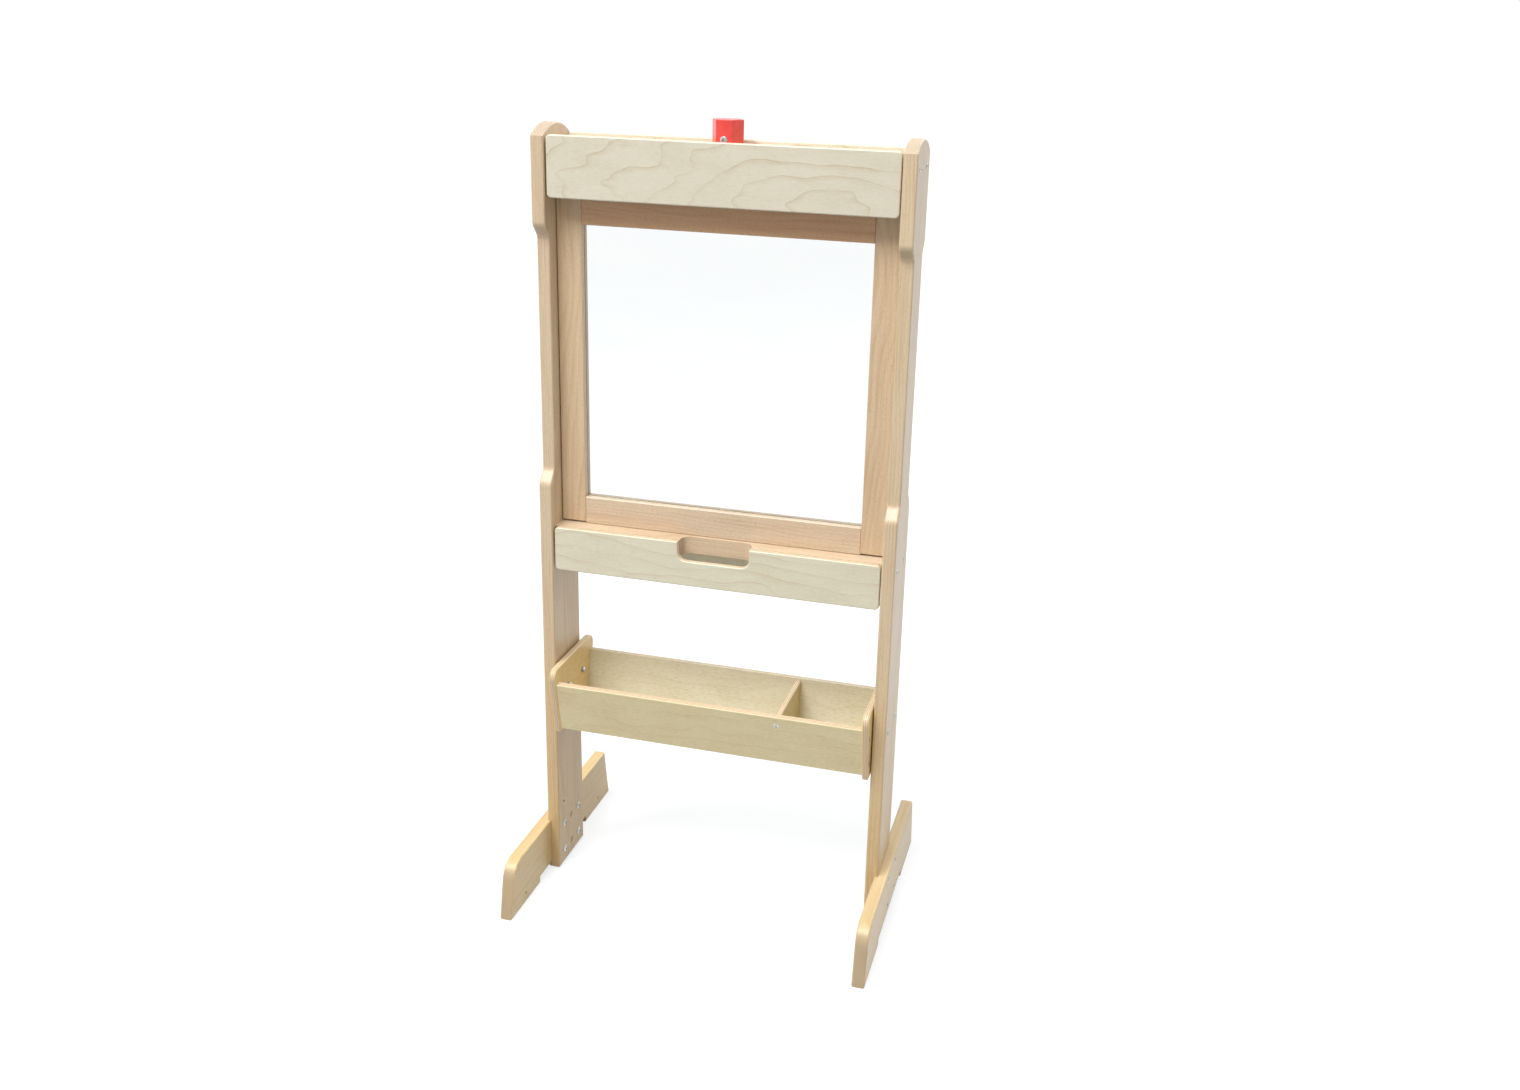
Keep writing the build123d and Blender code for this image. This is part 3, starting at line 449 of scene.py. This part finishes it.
def paintMaterial():
    material, tree, shader = newMaterial("red_paint_knob")
    place = addNode(tree, "TexCoord").outputs["Object"]
    brushed = noise(tree, place, paintLook["brush"], detail=3.0).outputs["Fac"]
    patchy = noise(tree, place, paintLook["patch"], detail=3.0).outputs["Fac"]
    body = blend(tree, ramp(tree, patchy, 0.35, 0.7), paintLook["red"], paintLook["deep"])
    body = blend(tree, ramp(tree, brushed, 0.62, 0.8, 0.0, 0.25), body, paintLook["worn"])
    tree.links.new(body, shader.inputs["Base Color"])
    tree.links.new(ramp(tree, patchy, 0.2, 0.8, 0.26, 0.4, smooth=False), shader.inputs["Roughness"])
    addBump(tree, shader, calc(tree, "ADD", calc(tree, "MULTIPLY", brushed, 0.4), patchy), paintLook["bump"], 0.35)
    shader.inputs["Coat Weight"].default_value = paintLook["coat"]
    shader.inputs["Coat Roughness"].default_value = paintLook["coatRoughness"]
    return material


giveMaterial("lock_knob", paintMaterial())


# zinc plated screws and turned steel pins

steelLook = {"bright": colour(214, 214, 212), "dull": colour(168, 168, 166), "bump": 0.00008}
steelPieces = {  # material: pattern cycles per metre, nodes
    "zinc_screws": (420.0, (
        "head_screws", "lower_shelf_screws", "foot_bolts", "tray_bolts", "tray_end_screws", "divider_screws",
        "lock_screw")),
    "turned_steel": (300.0, ("foot_inserts", "guide_pins", "shelf_pins", "tray_nuts", "tray_spacers"))}


def steelMaterial(name, scale):
    material, tree, shader = newMaterial(name)
    place = addNode(tree, "TexCoord").outputs["Object"]
    cloud = noise(tree, place, (scale,) * 3, detail=3.0).outputs["Fac"]
    fine = noise(tree, place, (scale * 6,) * 3).outputs["Fac"]
    body = blend(tree, ramp(tree, cloud, 0.35, 0.65), steelLook["bright"], steelLook["dull"])
    tree.links.new(body, shader.inputs["Base Color"])
    tree.links.new(ramp(tree, fine, 0.3, 0.7, 0.22, 0.38, smooth=False), shader.inputs["Roughness"])
    shader.inputs["Metallic"].default_value = 1.0
    addBump(tree, shader, fine, steelLook["bump"], 0.4)
    return material


for name, (scale, nodeNames) in steelPieces.items():
    steel = steelMaterial(name, scale)
    for nodeName in nodeNames:
        giveMaterial(nodeName, steel)


# the clear sheet

clearLook = {
    "tint": colour(241, 243, 243), "haze": colour(239, 241, 242), "smear": (9.0, 9.0, 30.0), "ior": 1.49}


def clearMaterial():
    material, tree, shader = newMaterial("clear_acrylic")
    place = addNode(tree, "TexCoord").outputs["Object"]
    smear = noise(tree, place, clearLook["smear"], detail=4.0).outputs["Fac"]
    body = blend(tree, ramp(tree, smear, 0.3, 0.8), clearLook["tint"], clearLook["haze"])
    tree.links.new(body, shader.inputs["Base Color"])
    tree.links.new(ramp(tree, smear, 0.35, 0.75, 0.0, 0.03, smooth=False), shader.inputs["Roughness"])
    shader.inputs["Transmission Weight"].default_value = 1.0
    shader.inputs["IOR"].default_value = clearLook["ior"]
    return material


giveMaterial("clear_panel", clearMaterial())
print("paint, steel and clear sheet finished")


# floor and studio; their own white is seen directly, in the sheen and through the clear sheet,
# and lights nothing else

stageLook = {
    "floor": 0.36, "fill": 0.33, "fillTone": (1.0, 0.82, 0.62), "size": 60.0, "glowStart": 0.8, "glowEnd": 9.0,
    "nearGlow": 0.68, "farGlow": 0.92, "backdrop": 1.06}
softboxes = {  # place, what it aims at, size, watts, tone
    "keySoftbox": ((-1.3, -2.6, 5.0), (0.0, 0.0, 0.5), (3.0, 2.4), 305.0, (1.0, 1.0, 1.0)),
    "overheadSoftbox": ((0.4, 0.2, 5.2), (0.0, 0.0, 0.5), (2.6, 2.2), 78.0, (0.92, 0.97, 1.0)),
    "sideSoftbox": ((4.6, -0.9, 2.2), (0.2, 0.0, 0.6), (2.4, 3.4), 35.0, (0.93, 0.97, 1.0)),
    "backSoftbox": ((1.2, 3.8, 3.0), (0.0, 0.0, 0.6), (2.6, 2.6), 55.0, (0.95, 0.98, 1.0)),
    "leftSoftbox": ((-4.4, 0.4, 2.4), (0.0, 0.0, 0.6), (2.4, 3.0), 45.0, (0.95, 0.98, 1.0))}


def seenDirectly(tree):
    rays = addNode(tree, "LightPath").outputs
    eye = calc(tree, "MAXIMUM", rays["Is Camera Ray"], rays["Is Transmission Ray"])
    return calc(tree, "MAXIMUM", eye, rays["Is Glossy Ray"])


def makeFloor():
    shape = bmesh.new()
    bmesh.ops.create_grid(shape, x_segments=2, y_segments=2, size=stageLook["size"] / 2)
    mesh = bpy.data.meshes.new("floor")
    shape.to_mesh(mesh)
    shape.free()
    floor = bpy.data.objects.new("floor", mesh)
    scene.collection.objects.link(floor)
    material, tree, shader = newMaterial("pale_floor")
    shader.inputs["Base Color"].default_value = (stageLook["floor"],) * 3 + (1.0,)
    shader.inputs["Roughness"].default_value = 0.9
    shader.inputs["Specular IOR Level"].default_value = 0.1
    away = vectorCalc(tree, "LENGTH", addNode(tree, "TexCoord").outputs["Object"])
    glow = ramp(tree, away, stageLook["glowStart"], stageLook["glowEnd"], stageLook["nearGlow"], stageLook["farGlow"])
    seen = seenDirectly(tree)
    parts = {}
    for name, tone in zip(("Red", "Green", "Blue"), stageLook["fillTone"]):
        cooling = stageLook["fill"] * stageLook["floor"] * (1.0 - tone)  # evens out the warm fill
        parts[name] = calc(tree, "MULTIPLY", calc(tree, "ADD", glow, cooling), seen)
    tree.links.new(addNode(tree, "CombineColor", parts).outputs[0], shader.inputs["Emission Color"])
    shader.inputs["Emission Strength"].default_value = 1.0
    mesh.materials.append(material)


def makeWorld():
    world = bpy.data.worlds.new("studio")
    world.use_nodes = True
    tree = world.node_tree
    tree.nodes.clear()
    seen = seenDirectly(tree)
    strength = ramp(tree, seen, 0.0, 1.0, stageLook["fill"], stageLook["backdrop"], smooth=False)
    tone = blend(tree, seen, (*stageLook["fillTone"], 1.0), (1.0, 1.0, 1.0, 1.0))
    back = addNode(tree, "Background", {"Color": tone, "Strength": strength})
    tree.links.new(back.outputs[0], addNode(tree, "OutputWorld").inputs["Surface"])
    scene.world = world


def makeSoftbox(name, place, aim, size, power, tone):
    lamp = bpy.data.lights.new(name, "AREA")
    lamp.shape = "RECTANGLE"
    lamp.size, lamp.size_y = size
    lamp.energy = power
    lamp.color = tone
    lampObject = bpy.data.objects.new(name, lamp)
    lampObject.location = place
    lampObject.rotation_euler = (Vector(aim) - Vector(place)).to_track_quat("-Z", "Y").to_euler()
    scene.collection.objects.link(lampObject)


makeFloor()
makeWorld()
for name, values in softboxes.items():
    makeSoftbox(name, *values)


# camera

cameraLook = {
    "place": (0.5186, -1.7071, 1.1968), "yaw": 14.23, "pitch": 17.74, "roll": 1.70,
    "lens": 32.733, "sensor": 36.0, "shift": (-0.01586, -0.04296)}

camera = bpy.data.cameras.new("camera")
camera.lens, camera.sensor_width = cameraLook["lens"], cameraLook["sensor"]
camera.shift_x, camera.shift_y = cameraLook["shift"]
cameraObject = bpy.data.objects.new("camera", camera)
cameraObject.location = cameraLook["place"]
yaw = Matrix.Rotation(radians(cameraLook["yaw"]), 3, "Z")
pitch = Matrix.Rotation(radians(90 - cameraLook["pitch"]), 3, "X")
roll = Matrix.Rotation(radians(cameraLook["roll"]), 3, "Z")
cameraObject.rotation_euler = (yaw @ pitch @ roll).to_euler()
scene.collection.objects.link(cameraObject)
scene.camera = cameraObject
print("floor, light and camera ready")
